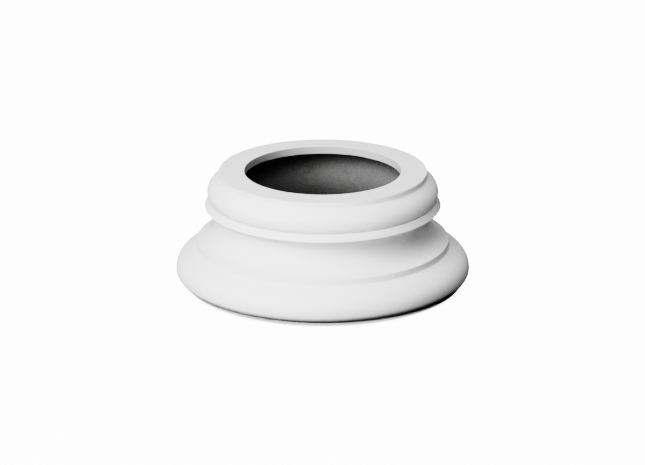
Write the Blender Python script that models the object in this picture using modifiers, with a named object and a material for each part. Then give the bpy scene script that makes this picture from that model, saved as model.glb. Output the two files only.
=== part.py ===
"""Round column base, one hollow moulding open from top to bottom.

From the ground up its outside is a large torus, a fillet, a scotia, a projecting band,
a smaller torus and a neck fillet under a flat top. The inside is a plain cavity that
widens under a thin lip around the bore and follows the scotia at one wall's thickness.
Units are metres, +Z is up, and the origin is the middle of the underside.
"""

import math

import bpy

# Top and bore
BORE_RADIUS = 0.0845           # round hole through the lip
LIP_WIDTH = 0.0281             # flat top, from the bore out to the neck
LIP_THICKNESS = 0.0089         # top face down to the cavity's ceiling

# Heights of the mouldings, stacked from the underside to the top
LOWER_TORUS_HEIGHT = 0.0341
FOOT_FILLET_HEIGHT = 0.0067
SCOTIA_HEIGHT = 0.0381
BAND_HEIGHT = 0.0072
UPPER_TORUS_HEIGHT = 0.0252
NECK_HEIGHT = 0.0060

# How far each moulding stands out from the one above it
UPPER_TORUS_PROJECTION = 0.0126
BAND_PROJECTION = 0.0030       # band's lower arris beyond the upper torus
SCOTIA_SPREAD = 0.0087         # scotia's lower arris beyond the band's
FOOT_FILLET_FLARE = 0.0005     # lean of the wall between scotia and lower torus
LOWER_TORUS_PROJECTION = 0.0226

# Forms of the single mouldings
THROAT_DEPTH = 0.0142          # scotia's narrowest place, in from the band's arris
SCOTIA_FLAT = 0.0137           # how far the scotia runs out nearly level
SCOTIA_END_SLOPE = math.radians(12)
SCOTIA_UPRIGHT = 0.72          # share of its height over which the scotia hangs nearly plumb
BAND_FLARE = 0.0038            # band's top edge, in from its lower arris
UPPER_SHOULDER_SLOPE = math.radians(32)
LOWER_SHOULDER_SLOPE = math.radians(30)
SHOULDER_REACH = 0.57          # share of a torus's width that its shoulder runs along that slope
UPPER_SHOULDER_DROP = 0.42     # share of its height that the upper torus then falls nearly plumb
LOWER_SHOULDER_DROP = 0.52     # the same share of the lower torus
UPPER_NOSE_HEIGHT = 0.0082     # widest line of the upper torus above the band's ledge
UPPER_NOSE_WIDTH = 0.0038      # from the widest line in to the crease on the ledge
LOWER_NOSE_HEIGHT = 0.0079     # widest line of the lower torus above the ground
LOWER_NOSE_WIDTH = 0.0105      # from the widest line in to the flat underside

# Shell
WALL = 0.0110
FOOT_WIDTH = 0.0175            # flat ring on which the base rests
CEILING_ROUND = 0.0040         # hollow corner between cavity wall and ceiling

# Fineness
RING_STEPS = 88
SHARP_ANGLE = math.radians(28)
QUARTER_HANDLE = 0.5523        # handle of a cubic that draws a quarter ellipse

# Heights of the joins between mouldings
FILLET_FOOT_Z = LOWER_TORUS_HEIGHT
ARRIS_Z = FILLET_FOOT_Z + FOOT_FILLET_HEIGHT
BAND_FOOT_Z = ARRIS_Z + SCOTIA_HEIGHT
LEDGE_Z = BAND_FOOT_Z + BAND_HEIGHT
NECK_FOOT_Z = LEDGE_Z + UPPER_TORUS_HEIGHT
TOP_Z = NECK_FOOT_Z + NECK_HEIGHT
CEILING_Z = TOP_Z - LIP_THICKNESS

# Radii of the joins
NECK_RADIUS = BORE_RADIUS + LIP_WIDTH
UPPER_TORUS_RADIUS = NECK_RADIUS + UPPER_TORUS_PROJECTION
BAND_RADIUS = UPPER_TORUS_RADIUS + BAND_PROJECTION
THROAT_RADIUS = BAND_RADIUS - THROAT_DEPTH
ARRIS_RADIUS = BAND_RADIUS + SCOTIA_SPREAD
FILLET_FOOT_RADIUS = ARRIS_RADIUS + FOOT_FILLET_FLARE
LOWER_TORUS_RADIUS = FILLET_FOOT_RADIUS + LOWER_TORUS_PROJECTION
CONTACT_RADIUS = LOWER_TORUS_RADIUS - LOWER_NOSE_WIDTH
FOOT_INNER_RADIUS = CONTACT_RADIUS - FOOT_WIDTH
CAVITY_RADIUS = THROAT_RADIUS - WALL


def cubic(start, start_handle, end_handle, end, pieces):
    """Points of a cubic Bezier curve, both ends included."""
    points = []
    for index in range(pieces + 1):
        t = index / pieces
        s = 1 - t
        weights = (s * s * s, 3 * s * s * t, 3 * s * t * t, t * t * t)
        corners = (start, start_handle, end_handle, end)
        points.append(tuple(sum(w * c[axis] for w, c in zip(weights, corners)) for axis in (0, 1)))
    return points


def shoulder(start, widest, slope, plumb_share, pieces):
    """Upper side of a torus: it leaves its fillet at a slope and ends upright at the widest line."""
    reach = widest[0] - start[0]
    drop = start[1] - widest[1]
    along = SHOULDER_REACH * reach
    start_handle = (start[0] + along, start[1] - along * math.tan(slope))
    end_handle = (widest[0], widest[1] + plumb_share * drop)
    return cubic(start, start_handle, end_handle, widest, pieces)


def nose(widest, inner, pieces):
    """Lower side of a torus: a quarter ellipse from the widest line in to its underside."""
    down = QUARTER_HANDLE * (widest[1] - inner[1])
    out = QUARTER_HANDLE * (widest[0] - inner[0])
    start_handle = (widest[0], widest[1] - down)
    end_handle = (inner[0] + out, inner[1])
    return cubic(widest, start_handle, end_handle, inner, pieces)


def upper_torus():
    widest = (UPPER_TORUS_RADIUS, LEDGE_Z + UPPER_NOSE_HEIGHT)
    crease = (UPPER_TORUS_RADIUS - UPPER_NOSE_WIDTH, LEDGE_Z)
    start = (NECK_RADIUS, NECK_FOOT_Z)
    upper = shoulder(start, widest, UPPER_SHOULDER_SLOPE, UPPER_SHOULDER_DROP, 7)
    return upper + nose(widest, crease, 4)[1:]


def band():
    """A narrow wall that leans out to a sharp lower arris, with a level soffit behind it."""
    ledge_edge = (BAND_RADIUS - BAND_FLARE, LEDGE_Z)
    arris = (BAND_RADIUS, BAND_FOOT_Z)
    return [ledge_edge, arris]


def scotia():
    """Hollow moulding: it drops from the throat and runs out nearly level to its arris."""
    throat = (THROAT_RADIUS, BAND_FOOT_Z)
    arris = (ARRIS_RADIUS, ARRIS_Z)
    throat_handle = (THROAT_RADIUS, BAND_FOOT_Z - SCOTIA_UPRIGHT * SCOTIA_HEIGHT)
    arris_handle = (ARRIS_RADIUS - SCOTIA_FLAT, ARRIS_Z + SCOTIA_FLAT * math.tan(SCOTIA_END_SLOPE))
    return cubic(throat, throat_handle, arris_handle, arris, 9)


def lower_torus():
    widest = (LOWER_TORUS_RADIUS, LOWER_NOSE_HEIGHT)
    contact = (CONTACT_RADIUS, 0.0)
    start = (FILLET_FOOT_RADIUS, FILLET_FOOT_Z)
    upper = shoulder(start, widest, LOWER_SHOULDER_SLOPE, LOWER_SHOULDER_DROP, 8)
    return upper + nose(widest, contact, 5)[1:]


def inset(points, distance):
    """Points moved square to their curve, towards the axis and the ground."""
    moved = []
    for index, (radius, height) in enumerate(points):
        before = points[max(index - 1, 0)]
        after = points[min(index + 1, len(points) - 1)]
        along_r = after[0] - before[0]
        along_z = after[1] - before[1]
        length = math.hypot(along_r, along_z)
        moved.append((radius + distance * along_z / length, height - distance * along_r / length))
    return moved


def cavity():
    """Inside, from the underside up to the bore's upper edge."""
    flare = [point for point in inset(scotia(), WALL) if point[0] < ARRIS_RADIUS - WALL]
    flare.reverse()
    wall_top = (CAVITY_RADIUS, CEILING_Z - CEILING_ROUND)
    ceiling_edge = (CAVITY_RADIUS - CEILING_ROUND, CEILING_Z)
    lift = QUARTER_HANDLE * CEILING_ROUND
    corner = cubic(
        wall_top,
        (wall_top[0], wall_top[1] + lift),
        (ceiling_edge[0] + lift, ceiling_edge[1]),
        ceiling_edge,
        3,
    )
    return [(FOOT_INNER_RADIUS, 0.0)] + flare + corner + [(BORE_RADIUS, CEILING_Z), (BORE_RADIUS, TOP_Z)]


def section():
    """The whole cut wall, down its outside and back up its inside."""
    return [(NECK_RADIUS, TOP_Z)] + upper_torus() + band() + scotia() + lower_torus() + cavity()


def foam_material():
    material = bpy.data.materials.new("white moulded foam")
    material.use_nodes = True
    shader = material.node_tree.nodes["Principled BSDF"]
    shader.inputs["Base Color"].default_value = (0.84, 0.84, 0.84, 1.0)
    shader.inputs["Roughness"].default_value = 0.5
    shader.inputs["Metallic"].default_value = 0.0
    return material


def turn(points, name, collection):
    """A closed section at +X turned once about the Z axis."""
    outline = bpy.data.meshes.new(name + " section")
    count = len(points)
    edges = [(index, (index + 1) % count) for index in range(count)]
    outline.from_pydata([(radius, 0.0, height) for radius, height in points], edges, [])
    turned = bpy.data.objects.new(name, outline)
    collection.objects.link(turned)
    screw = turned.modifiers.new("turn", "SCREW")
    screw.axis = "Z"
    screw.angle = 2 * math.pi
    screw.steps = RING_STEPS
    screw.render_steps = RING_STEPS
    screw.use_smooth_shade = True
    screw.use_merge_vertices = False
    return turned


def keep_evaluated(turned):
    """Replace the section and its modifier by the turned mesh, smooth with sharp arrises."""
    depsgraph = bpy.context.evaluated_depsgraph_get()
    mesh = bpy.data.meshes.new_from_object(turned.evaluated_get(depsgraph))
    outline = turned.data
    turned.modifiers.clear()
    turned.data = mesh
    bpy.data.meshes.remove(outline)
    mesh.name = turned.name
    mesh.shade_smooth()
    mesh.set_sharp_from_angle(angle=SHARP_ANGLE)


def clear_scene():
    for item in list(bpy.data.objects):
        bpy.data.objects.remove(item)


def main():
    clear_scene()
    collection = bpy.data.collections.new("column base")
    bpy.context.scene.collection.children.link(collection)
    base = turn(section(), "column_base", collection)
    keep_evaluated(base)
    base.data.materials.append(foam_material())


main()
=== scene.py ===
"""A round hollow column base moulded in white foam, seen in a plain studio.

The solid base of the frame is faceted. Here it is worked out again as one fine turned
surface on the same lines, with softened arrises, primed white outside and raw foam inside.
Units are metres, +Z is up, and the axis of the bore is the Z axis.
"""

import math

import bpy
import numpy as np
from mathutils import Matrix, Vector


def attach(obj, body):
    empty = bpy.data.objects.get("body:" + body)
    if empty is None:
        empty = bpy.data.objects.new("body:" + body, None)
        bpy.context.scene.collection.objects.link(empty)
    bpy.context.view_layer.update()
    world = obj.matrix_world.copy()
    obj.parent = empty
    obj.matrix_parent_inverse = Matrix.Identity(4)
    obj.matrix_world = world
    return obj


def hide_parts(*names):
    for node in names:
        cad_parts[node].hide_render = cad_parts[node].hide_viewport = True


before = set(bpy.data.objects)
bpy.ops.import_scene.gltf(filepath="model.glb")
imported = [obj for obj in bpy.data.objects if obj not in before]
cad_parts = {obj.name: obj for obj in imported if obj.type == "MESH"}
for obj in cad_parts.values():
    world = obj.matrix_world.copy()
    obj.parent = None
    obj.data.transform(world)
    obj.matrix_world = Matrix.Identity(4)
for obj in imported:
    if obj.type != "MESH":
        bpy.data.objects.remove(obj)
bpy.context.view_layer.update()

# The lines of the moulding, from the solid's own sizes
TOP_Z = 0.1173
NECK_FOOT_Z = 0.1113
LEDGE_Z = 0.0861
BAND_FOOT_Z = 0.0789
ARRIS_Z = 0.0408
FILLET_FOOT_Z = 0.0341
CEILING_Z = 0.1084

BORE_RADIUS = 0.0845
NECK_RADIUS = 0.1126
UPPER_TORUS_RADIUS = 0.1252
BAND_RADIUS = 0.1282
THROAT_RADIUS = 0.1140
ARRIS_RADIUS = 0.1369
FILLET_FOOT_RADIUS = 0.1374
LOWER_TORUS_RADIUS = 0.1600
CONTACT_RADIUS = 0.1495
FOOT_INNER_RADIUS = 0.1320
CAVITY_RADIUS = 0.1030

WALL = 0.0110
CEILING_ROUND = 0.0040
BAND_FLARE = 0.0038
UPPER_SHOULDER_SLOPE = math.radians(32)
UPPER_SHOULDER_DROP = 0.42
LOWER_SHOULDER_SLOPE = math.radians(30)
LOWER_SHOULDER_DROP = 0.52
SHOULDER_REACH = 0.57
UPPER_NOSE_HEIGHT = 0.0082
UPPER_NOSE_WIDTH = 0.0038
LOWER_NOSE_HEIGHT = 0.0079
SCOTIA_FLAT = 0.0137
SCOTIA_END_SLOPE = math.radians(12)
SCOTIA_UPRIGHT = 0.72
QUARTER_HANDLE = 0.5523
FLARE_TRIM = 0.0030            # how far the cavity's flare is cut short of the scotia's thick corner

# How far each arris or crease is rounded
ARRIS_SOFTNESS = 0.0005
CREASE_SOFTNESS = 0.0009
FOOT_SOFTNESS = 0.0012
FLARE_SOFTNESS = 0.0080

# How far each part is primed: 1 is white, 0 is raw foam
WHITE = 1.0
BORE_COAT_AND_SHADE = 0.8                # the bore's wall: a thin coat, its primer also greyed as painted shade of the recessed wall
EDGE_OF_COAT = 0.5             # the ring on which the base stands
RAW = 0.0
LIP_SHADE_HEIGHTS = (0.086, 0.104)     # heights between which painted shade darkens the raw foam towards near-black under the lip
DEPTH_SHADE_HEIGHTS = (0.060, 0.077)   # and between which painted shade darkens it towards the depth

# Unevenness of the moulding: depth and width of its shallow hollows, and of the raw foam's lumps
HOLLOW_DEPTH = 0.00012
HOLLOW_WIDTH = 0.07
LUMP_DEPTH = 0.0007
LUMP_WIDTH = 0.028
LEVEL_FOOT = 0.006             # height below which it fades, so that the base stands flat

# Fineness of the turned surface
ALONG_SPACING = 0.0016
CORNER_POINTS = 6
ROUND_STEPS = 288


def curve(corners, count=200):
    """A cubic Bezier curve: its four corners weighed by the Bernstein polynomials of t."""
    t = np.linspace(0.0, 1.0, count)[:, None]
    s = 1.0 - t
    weights = np.hstack((s ** 3, 3 * s * s * t, 3 * s * t * t, t ** 3))
    return weights @ np.array(corners)


def straight(start, end):
    return np.array((start, end))


def torus_side(start, widest, inner, slope, drop):
    """A torus in section: its shoulder leaves the fillet at a slope and falls plumb to the
    widest line, then a quarter ellipse turns in under it."""
    reach = SHOULDER_REACH * (widest[0] - start[0])
    shoulder = curve((start, (start[0] + reach, start[1] - reach * math.tan(slope)),
                      (widest[0], widest[1] + drop * (start[1] - widest[1])), widest))
    down = QUARTER_HANDLE * (widest[1] - inner[1])
    out = QUARTER_HANDLE * (widest[0] - inner[0])
    nose = curve((widest, (widest[0], widest[1] - down), (inner[0] + out, inner[1]), inner))
    return np.vstack((shoulder, nose[1:]))


def scotia_side():
    """The hollow moulding in section: plumb at its throat, nearly level at its lower arris."""
    return curve((
        (THROAT_RADIUS, BAND_FOOT_Z),
        (THROAT_RADIUS, BAND_FOOT_Z - SCOTIA_UPRIGHT * (BAND_FOOT_Z - ARRIS_Z)),
        (ARRIS_RADIUS - SCOTIA_FLAT, ARRIS_Z + SCOTIA_FLAT * math.tan(SCOTIA_END_SLOPE)),
        (ARRIS_RADIUS, ARRIS_Z),
    ))


def cavity_side():
    """The inside of the wall in section: the scotia moved in square to itself by the wall's
    thickness, read from the ground up, then the plumb wall and the round under the ceiling."""
    outer = scotia_side()
    slope = np.gradient(outer, axis=0)
    square = np.stack((slope[:, 1], -slope[:, 0]), axis=1) / np.linalg.norm(slope, axis=1)[:, None]
    flare = outer + WALL * square
    flare = flare[flare[:, 0] < ARRIS_RADIUS - WALL - FLARE_TRIM][::-1]
    lift = QUARTER_HANDLE * CEILING_ROUND
    wall_top = (CAVITY_RADIUS, CEILING_Z - CEILING_ROUND)
    ceiling_edge = (CAVITY_RADIUS - CEILING_ROUND, CEILING_Z)
    wall_handle = (wall_top[0], wall_top[1] + lift)
    ceiling_handle = (ceiling_edge[0] + lift, ceiling_edge[1])
    corner = curve((wall_top, wall_handle, ceiling_handle, ceiling_edge))
    return np.vstack((flare, corner, [(BORE_RADIUS, CEILING_Z)]))


def moulding_runs():
    """The section as smooth runs, in order down the outside and back up the inside. Each is
    (points, softness of the arris or crease at its end, how far it is primed)."""
    top_bore = (BORE_RADIUS, TOP_Z)
    top_edge = (NECK_RADIUS, TOP_Z)
    neck_foot = (NECK_RADIUS, NECK_FOOT_Z)
    upper_widest = (UPPER_TORUS_RADIUS, LEDGE_Z + UPPER_NOSE_HEIGHT)
    upper_crease = (UPPER_TORUS_RADIUS - UPPER_NOSE_WIDTH, LEDGE_Z)
    ledge_edge = (BAND_RADIUS - BAND_FLARE, LEDGE_Z)
    band_arris = (BAND_RADIUS, BAND_FOOT_Z)
    fillet_foot = (FILLET_FOOT_RADIUS, FILLET_FOOT_Z)
    lower_widest = (LOWER_TORUS_RADIUS, LOWER_NOSE_HEIGHT)
    contact = (CONTACT_RADIUS, 0.0)
    foot_inner = (FOOT_INNER_RADIUS, 0.0)
    upper_torus = torus_side(neck_foot, upper_widest, upper_crease, UPPER_SHOULDER_SLOPE, UPPER_SHOULDER_DROP)
    lower_torus = torus_side(fillet_foot, lower_widest, contact, LOWER_SHOULDER_SLOPE, LOWER_SHOULDER_DROP)
    scotia = scotia_side()
    cavity = cavity_side()
    return [
        (straight(top_bore, top_edge), ARRIS_SOFTNESS, WHITE),
        (straight(top_edge, neck_foot), CREASE_SOFTNESS, WHITE),
        (upper_torus, CREASE_SOFTNESS, WHITE),
        (straight(upper_crease, ledge_edge), ARRIS_SOFTNESS, WHITE),
        (straight(ledge_edge, band_arris), ARRIS_SOFTNESS, WHITE),
        (straight(band_arris, scotia[0]), 2 * CREASE_SOFTNESS, WHITE),
        (scotia, ARRIS_SOFTNESS, WHITE),
        (straight(scotia[-1], fillet_foot), CREASE_SOFTNESS, WHITE),
        (lower_torus, 0.0, WHITE),
        (straight(contact, foot_inner), FOOT_SOFTNESS, EDGE_OF_COAT),
        (straight(foot_inner, cavity[0]), FLARE_SOFTNESS, RAW),
        (cavity, ARRIS_SOFTNESS, RAW),
        (straight(cavity[-1], top_bore), ARRIS_SOFTNESS, BORE_COAT_AND_SHADE),
    ]


def lengths(points):
    """Distance along a line of points, from its first."""
    steps = np.linalg.norm(np.diff(points, axis=0), axis=1)
    return np.concatenate(([0.0], np.cumsum(steps)))


def read_along(points, places):
    """Points of a line at given distances from its start."""
    along = lengths(points)
    return np.stack((np.interp(places, along, points[:, 0]), np.interp(places, along, points[:, 1])), axis=1)


def section():
    """The closed section: each run is cut short of its corners and read at even steps, and each
    corner is a quadratic Bezier curve whose middle corner is the sharp one.
    Returns radius and height of its points, and how far each is primed."""
    runs = moulding_runs()
    points, primed = [], []
    t = np.linspace(0.0, 1.0, CORNER_POINTS + 2)[1:-1, None]
    for index, (line, softness, paint) in enumerate(runs):
        head = runs[index - 1][1]
        whole = lengths(line)[-1]
        count = max(2, round((whole - head - softness) / ALONG_SPACING) + 1)
        body = read_along(line, np.linspace(head, whole - softness, count))
        points.append(body)
        primed.append(np.full(len(body), paint))
        following, _, next_paint = runs[(index + 1) % len(runs)]
        if softness > 0:
            first = read_along(following, np.array([softness]))[0]
            corner = (1 - t) ** 2 * body[-1] + 2 * (1 - t) * t * line[-1] + t ** 2 * first
            points.append(corner)
            primed.append((1 - t[:, 0]) * paint + t[:, 0] * next_paint)
    points = np.vstack(points)
    primed = np.concatenate(primed)
    apart = np.linalg.norm(points - np.roll(points, 1, axis=0), axis=1) > 1e-6
    return points[apart], primed[apart]


def unevenness(places, wavelength, count, seed):
    """Smooth unevenness between 0 and 1: the mean of plane waves that run in seeded
    directions through space, each with its own phase."""
    rng = np.random.default_rng(seed)
    ways = rng.normal(size=(3, count))
    ways *= 2 * np.pi / (wavelength * rng.uniform(0.7, 1.5, count) * np.linalg.norm(ways, axis=0))
    waves = np.cos(places @ ways + rng.uniform(0, 2 * np.pi, count))
    return np.clip(0.5 + 0.25 * waves.sum(axis=1) * math.sqrt(2.0 / count), 0.0, 1.0)


def turned(name, line, attribute):
    """A closed section turned about Z: one grid, round by along, whose point at angle a is
    (r cos a, r sin a, z). Faces join each point to the next round and the next along."""
    around = np.linspace(0.0, 2 * np.pi, ROUND_STEPS, endpoint=False)
    radius, height = line[:, 0], line[:, 1]
    grid = np.stack((
        np.cos(around)[:, None] * radius,
        np.sin(around)[:, None] * radius,
        np.broadcast_to(height, (ROUND_STEPS, len(line))),
    ), axis=2)

    tangent = np.roll(line, -1, axis=0) - np.roll(line, 1, axis=0)
    tangent /= np.linalg.norm(tangent, axis=1)[:, None]
    outward = np.stack((
        np.cos(around)[:, None] * -tangent[:, 1],
        np.sin(around)[:, None] * -tangent[:, 1],
        np.broadcast_to(tangent[:, 0], (ROUND_STEPS, len(line))),
    ), axis=2)
    places = grid.reshape(-1, 3)
    primed = np.tile(attribute, ROUND_STEPS)
    hollows = HOLLOW_DEPTH * unevenness(places, HOLLOW_WIDTH, count=24, seed=3)
    lumps = LUMP_DEPTH * unevenness(places, LUMP_WIDTH, count=40, seed=5)
    rise = np.clip(places[:, 2] / LEVEL_FOOT, 0.0, 1.0)
    sunk = rise * (primed * hollows + (1 - primed) * lumps)
    places = places - outward.reshape(-1, 3) * sunk[:, None]

    number = np.arange(ROUND_STEPS * len(line)).reshape(ROUND_STEPS, len(line))
    beside = np.roll(number, -1, axis=0)
    along = np.roll(number, -1, axis=1)
    across = np.roll(beside, -1, axis=1)
    quads = np.stack((number, along, across, beside), axis=2).reshape(-1, 4)

    mesh = bpy.data.meshes.new(name)
    mesh.vertices.add(len(places))
    mesh.vertices.foreach_set("co", places.ravel())
    mesh.loops.add(quads.size)
    mesh.loops.foreach_set("vertex_index", quads.ravel())
    mesh.polygons.add(len(quads))
    mesh.polygons.foreach_set("loop_start", np.arange(0, quads.size, 4))
    mesh.update(calc_edges=True)
    mesh.validate()
    mesh.shade_smooth()
    layer = mesh.attributes.new("primed", "FLOAT", "POINT")
    layer.data.foreach_set("value", primed)
    piece = bpy.data.objects.new(name, mesh)
    bpy.context.scene.collection.objects.link(piece)
    return piece


class Finish:
    """A material and the short calls that lay out its nodes."""

    def __init__(self, name):
        self.material = bpy.data.materials.new(name)
        self.material.use_nodes = True
        self.tree = self.material.node_tree
        self.shader = self.tree.nodes["Principled BSDF"]
        self.place = self.tree.nodes.new("ShaderNodeTexCoord").outputs["Object"]

    def put(self, value, socket):
        if isinstance(value, bpy.types.NodeSocket):
            self.tree.links.new(value, socket)
        else:
            socket.default_value = value

    def noise(self, size, detail=4.0, roughness=0.5):
        """Noise whose lumps are about size metres across."""
        node = self.tree.nodes.new("ShaderNodeTexNoise")
        self.put(self.place, node.inputs["Vector"])
        node.inputs["Scale"].default_value = 1.0 / size
        node.inputs["Detail"].default_value = detail
        node.inputs["Roughness"].default_value = roughness
        return node.outputs["Fac"]

    def mottle(self, size, detail=4.0, roughness=0.5, low=0.0, high=1.0):
        """The same noise, its middle stretched to run from low to high."""
        return self.spread(self.noise(size, detail, roughness), 0.3, 0.7, low, high)

    def level(self):
        """Height above the ground."""
        node = self.tree.nodes.new("ShaderNodeSeparateXYZ")
        self.put(self.place, node.inputs["Vector"])
        return node.outputs["Z"]

    def pores(self, size):
        """Distance to the nearest of scattered points size metres apart: small round pits."""
        node = self.tree.nodes.new("ShaderNodeTexVoronoi")
        self.put(self.place, node.inputs["Vector"])
        node.inputs["Scale"].default_value = 1.0 / size
        return node.outputs["Distance"]

    def math(self, operation, first, second):
        node = self.tree.nodes.new("ShaderNodeMath")
        node.operation = operation
        self.put(first, node.inputs[0])
        self.put(second, node.inputs[1])
        return node.outputs[0]

    def spread(self, value, low, high, to_low, to_high):
        """Value moved from one range to another and held inside it."""
        node = self.tree.nodes.new("ShaderNodeMapRange")
        self.put(value, node.inputs["Value"])
        for socket, number in zip(("From Min", "From Max", "To Min", "To Max"), (low, high, to_low, to_high)):
            self.put(number, node.inputs[socket])
        return node.outputs["Result"]

    def blend(self, share, first, second):
        node = self.tree.nodes.new("ShaderNodeMix")
        node.data_type = "RGBA"
        self.put(share, node.inputs["Factor"])
        self.put(first, node.inputs[6])
        self.put(second, node.inputs[7])
        return node.outputs[2]

    def apart(self, vector, place):
        node = self.tree.nodes.new("ShaderNodeVectorMath")
        node.operation = "SUBTRACT"
        self.put(vector, node.inputs[0])
        node.inputs[1].default_value = place
        return node.outputs["Vector"]

    def length(self, vector):
        node = self.tree.nodes.new("ShaderNodeVectorMath")
        node.operation = "LENGTH"
        self.put(vector, node.inputs[0])
        return node.outputs["Value"]

    def attribute(self, name):
        node = self.tree.nodes.new("ShaderNodeAttribute")
        node.attribute_name = name
        return node.outputs["Fac"]

    def relief(self, height, depth):
        """Bump whose full height is depth metres."""
        node = self.tree.nodes.new("ShaderNodeBump")
        node.inputs["Strength"].default_value = 1.0
        node.inputs["Distance"].default_value = depth
        self.put(height, node.inputs["Height"])
        self.put(node.outputs["Normal"], self.shader.inputs["Normal"])


def grey(value):
    return (value, value, value, 1.0)


def moulded_foam():
    """White primer over moulded foam, and the raw, open-grained foam that it leaves bare inside, with painted
    shade that greys the bore's wall and darkens the raw foam under the lip and deep inside.
    """
    finish = Finish("white primed foam")
    coat = finish.attribute("primed")
    ragged = finish.math("ADD", coat, finish.mottle(0.006, low=-0.15, high=0.15))
    share = finish.spread(ragged, 0.25, 0.55, 0.0, 1.0)

    primer = finish.blend(finish.mottle(0.05, 3.0), grey(0.825), grey(0.855))
    # Painted shade: where the coat is thinner, as on the bore's wall, the primer is greyed towards 0.52 for
    # the shade of the recessed wall
    primer = finish.blend(finish.spread(coat, BORE_COAT_AND_SHADE, WHITE, 0.0, 1.0), grey(0.52), primer)
    grain = finish.math("MULTIPLY", finish.mottle(0.0022, 5.0, 0.65), finish.mottle(0.030, low=0.6))
    raw = finish.blend(grain, grey(0.155), grey(0.27))
    level = finish.level()
    # Painted shade: the raw foam is blended towards near-black under the lip and darker deep inside, where
    # the shadow falls
    painted_lip_shade = finish.spread(level, *LIP_SHADE_HEIGHTS, 1.0, 0.3)
    painted_depth_shade = finish.spread(level, *DEPTH_SHADE_HEIGHTS, 0.65, 1.0)
    raw = finish.blend(finish.math("MULTIPLY", painted_lip_shade, painted_depth_shade), grey(0.02), raw)
    finish.put(finish.blend(share, raw, primer), finish.shader.inputs["Base Color"])

    satin = finish.mottle(0.012, low=0.46, high=0.56)
    finish.put(finish.spread(share, 0.0, 1.0, 0.9, satin), finish.shader.inputs["Roughness"])
    finish.shader.inputs["Specular IOR Level"].default_value = 0.3

    peel = finish.math("MULTIPLY", finish.noise(0.0035, 3.0), 0.16)
    pits = finish.math("MULTIPLY", finish.pores(0.0021), 0.6)
    pits = finish.math("ADD", pits, finish.noise(0.0040, 6.0, 0.7))
    finish.relief(finish.spread(share, 0.0, 1.0, pits, peel), 0.0004)
    return finish.material


# The floor, painted bright by its own glow, which lights nothing else; the glow is left out of a round patch
# under the base, where the lamps' real shadow shows as the contact shadow
FLOOR_HALF = 15.0
FLOOR_GLOW = 7.0
# The unlit patch is set off towards the front, so that its rim gives the contact shadow its painted width
GLOW_MIDDLE = (0.0010, -0.0130, 0.0)
GLOW_EDGE = 0.1497             # distance from that middle where the glow sets in
GLOW_FULL = 0.1557             # and where it is full


def pale_floor():
    """A wide level sheet painted bright by its own glow, which lights nothing else, but left unlit in a patch
    under the base, where the lamps' real shadow shows.
    """
    finish = Finish("pale floor")
    cloud = finish.blend(finish.mottle(0.9, 2.0), grey(0.61), grey(0.63))
    finish.put(cloud, finish.shader.inputs["Base Color"])
    finish.shader.inputs["Roughness"].default_value = 0.9
    finish.shader.inputs["Specular IOR Level"].default_value = 0.1
    away = finish.length(finish.apart(finish.place, GLOW_MIDDLE))
    finish.shader.inputs["Emission Color"].default_value = (1.0, 1.0, 1.0, 1.0)
    glow = finish.spread(away, GLOW_EDGE, GLOW_FULL, 0.0, FLOOR_GLOW)
    finish.put(glow, finish.shader.inputs["Emission Strength"])

    signs = ((-1, -1), (1, -1), (1, 1), (-1, 1))
    corners = [(FLOOR_HALF * x, FLOOR_HALF * y, 0.0) for x, y in signs]
    mesh = bpy.data.meshes.new("studio_floor")
    mesh.from_pydata(corners, [], [(0, 1, 2, 3)])
    mesh.materials.append(finish.material)
    floor = bpy.data.objects.new("studio_floor", mesh)
    bpy.context.scene.collection.objects.link(floor)
    floor.visible_diffuse = False
    floor.visible_glossy = False


# The view: a long lens that looks down on the middle of the base
PICTURE_WIDTH = 645
METRES_PER_PIXEL = 0.0010877
LENS_PIXELS = 2600
LOOK_DOWN = math.radians(19.26)
MIDDLE_ABOVE_GROUND = 41.96    # pixels, and so is the next
MIDDLE_BESIDE_AXIS = 0.25
LOOK_AT = Vector((0.0, 0.0, MIDDLE_ABOVE_GROUND * METRES_PER_PIXEL))


def place_camera():
    lens = bpy.data.cameras.new("camera")
    lens.sensor_width = 36.0
    lens.lens = lens.sensor_width * LENS_PIXELS / PICTURE_WIDTH
    lens.shift_x = -MIDDLE_BESIDE_AXIS / PICTURE_WIDTH
    lens.clip_end = 50.0
    camera = bpy.data.objects.new("camera", lens)
    bpy.context.scene.collection.objects.link(camera)
    ahead = Vector((0.0, math.cos(LOOK_DOWN), -math.sin(LOOK_DOWN)))
    camera.location = LOOK_AT - ahead * LENS_PIXELS * METRES_PER_PIXEL
    camera.rotation_euler = ahead.to_track_quat("-Z", "Y").to_euler()
    bpy.context.scene.camera = camera


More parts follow.
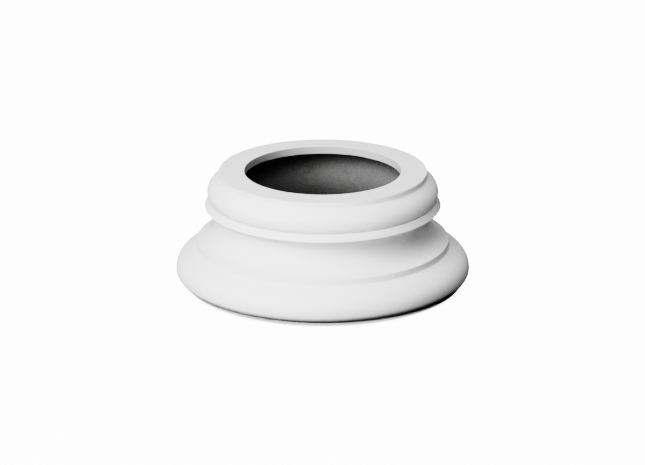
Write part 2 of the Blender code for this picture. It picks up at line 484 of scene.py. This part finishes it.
def soft_light(name, azimuth, elevation, power, size=1.5, distance=2.4):
    """A round soft box aimed at the base. Azimuth 0 is the camera's side, and minus is left of it."""
    light = bpy.data.lights.new(name, "AREA")
    light.shape = "DISK"
    light.size = size
    light.energy = power
    lamp = bpy.data.objects.new(name, light)
    bpy.context.scene.collection.objects.link(lamp)
    a, e = math.radians(azimuth), math.radians(elevation)
    way = Vector((math.sin(a) * math.cos(e), -math.cos(a) * math.cos(e), math.sin(e)))
    lamp.location = LOOK_AT + way * distance
    lamp.rotation_euler = (-way).to_track_quat("-Z", "Y").to_euler()


TABLE_GLOW_SIZE = 0.7
TABLE_GLOW_AWAY = 0.57         # its middle, from the axis
TABLE_GLOW_RISE = 0.001        # just clear of the floor


def table_glow(azimuth, power):
    """The lit table's light from below: a square that lies on the floor before the base, facing up."""
    light = bpy.data.lights.new("table_glow", "AREA")
    light.shape = "SQUARE"
    light.size = TABLE_GLOW_SIZE
    light.energy = power
    lamp = bpy.data.objects.new("table_glow", light)
    bpy.context.scene.collection.objects.link(lamp)
    a = math.radians(azimuth)
    lamp.location = (TABLE_GLOW_AWAY * math.sin(a), -TABLE_GLOW_AWAY * math.cos(a), TABLE_GLOW_RISE)
    lamp.rotation_euler = (math.pi, 0.0, a)
    lamp.visible_camera = False


def light_studio():
    world = bpy.data.worlds.new("studio")
    bpy.context.scene.world = world
    world.use_nodes = True
    background = world.node_tree.nodes["Background"]
    background.inputs["Color"].default_value = (1.0, 1.0, 1.0, 1.0)
    background.inputs["Strength"].default_value = 0.0
    soft_light("key", -52, 34, 18.5, size=0.5)
    soft_light("low_key", -52, 20, 10, size=0.6)
    soft_light("front_left", -25, 45, 41)
    soft_light("low_left", -40, 12, 23.5)
    soft_light("overhead", 0, 90, 7)
    soft_light("back_right", 135, 35, 9)
    soft_light("high_right", 60, 60, 7)
    table_glow(22, 1.6)
    bpy.context.scene.view_settings.view_transform = "Filmic"
    bpy.context.scene.view_settings.look = "Very High Contrast"


piece = turned("moulded_base", *section())
piece.data.materials.append(moulded_foam())
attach(piece, "root")
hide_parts("column_base")
pale_floor()
place_camera()
light_studio()
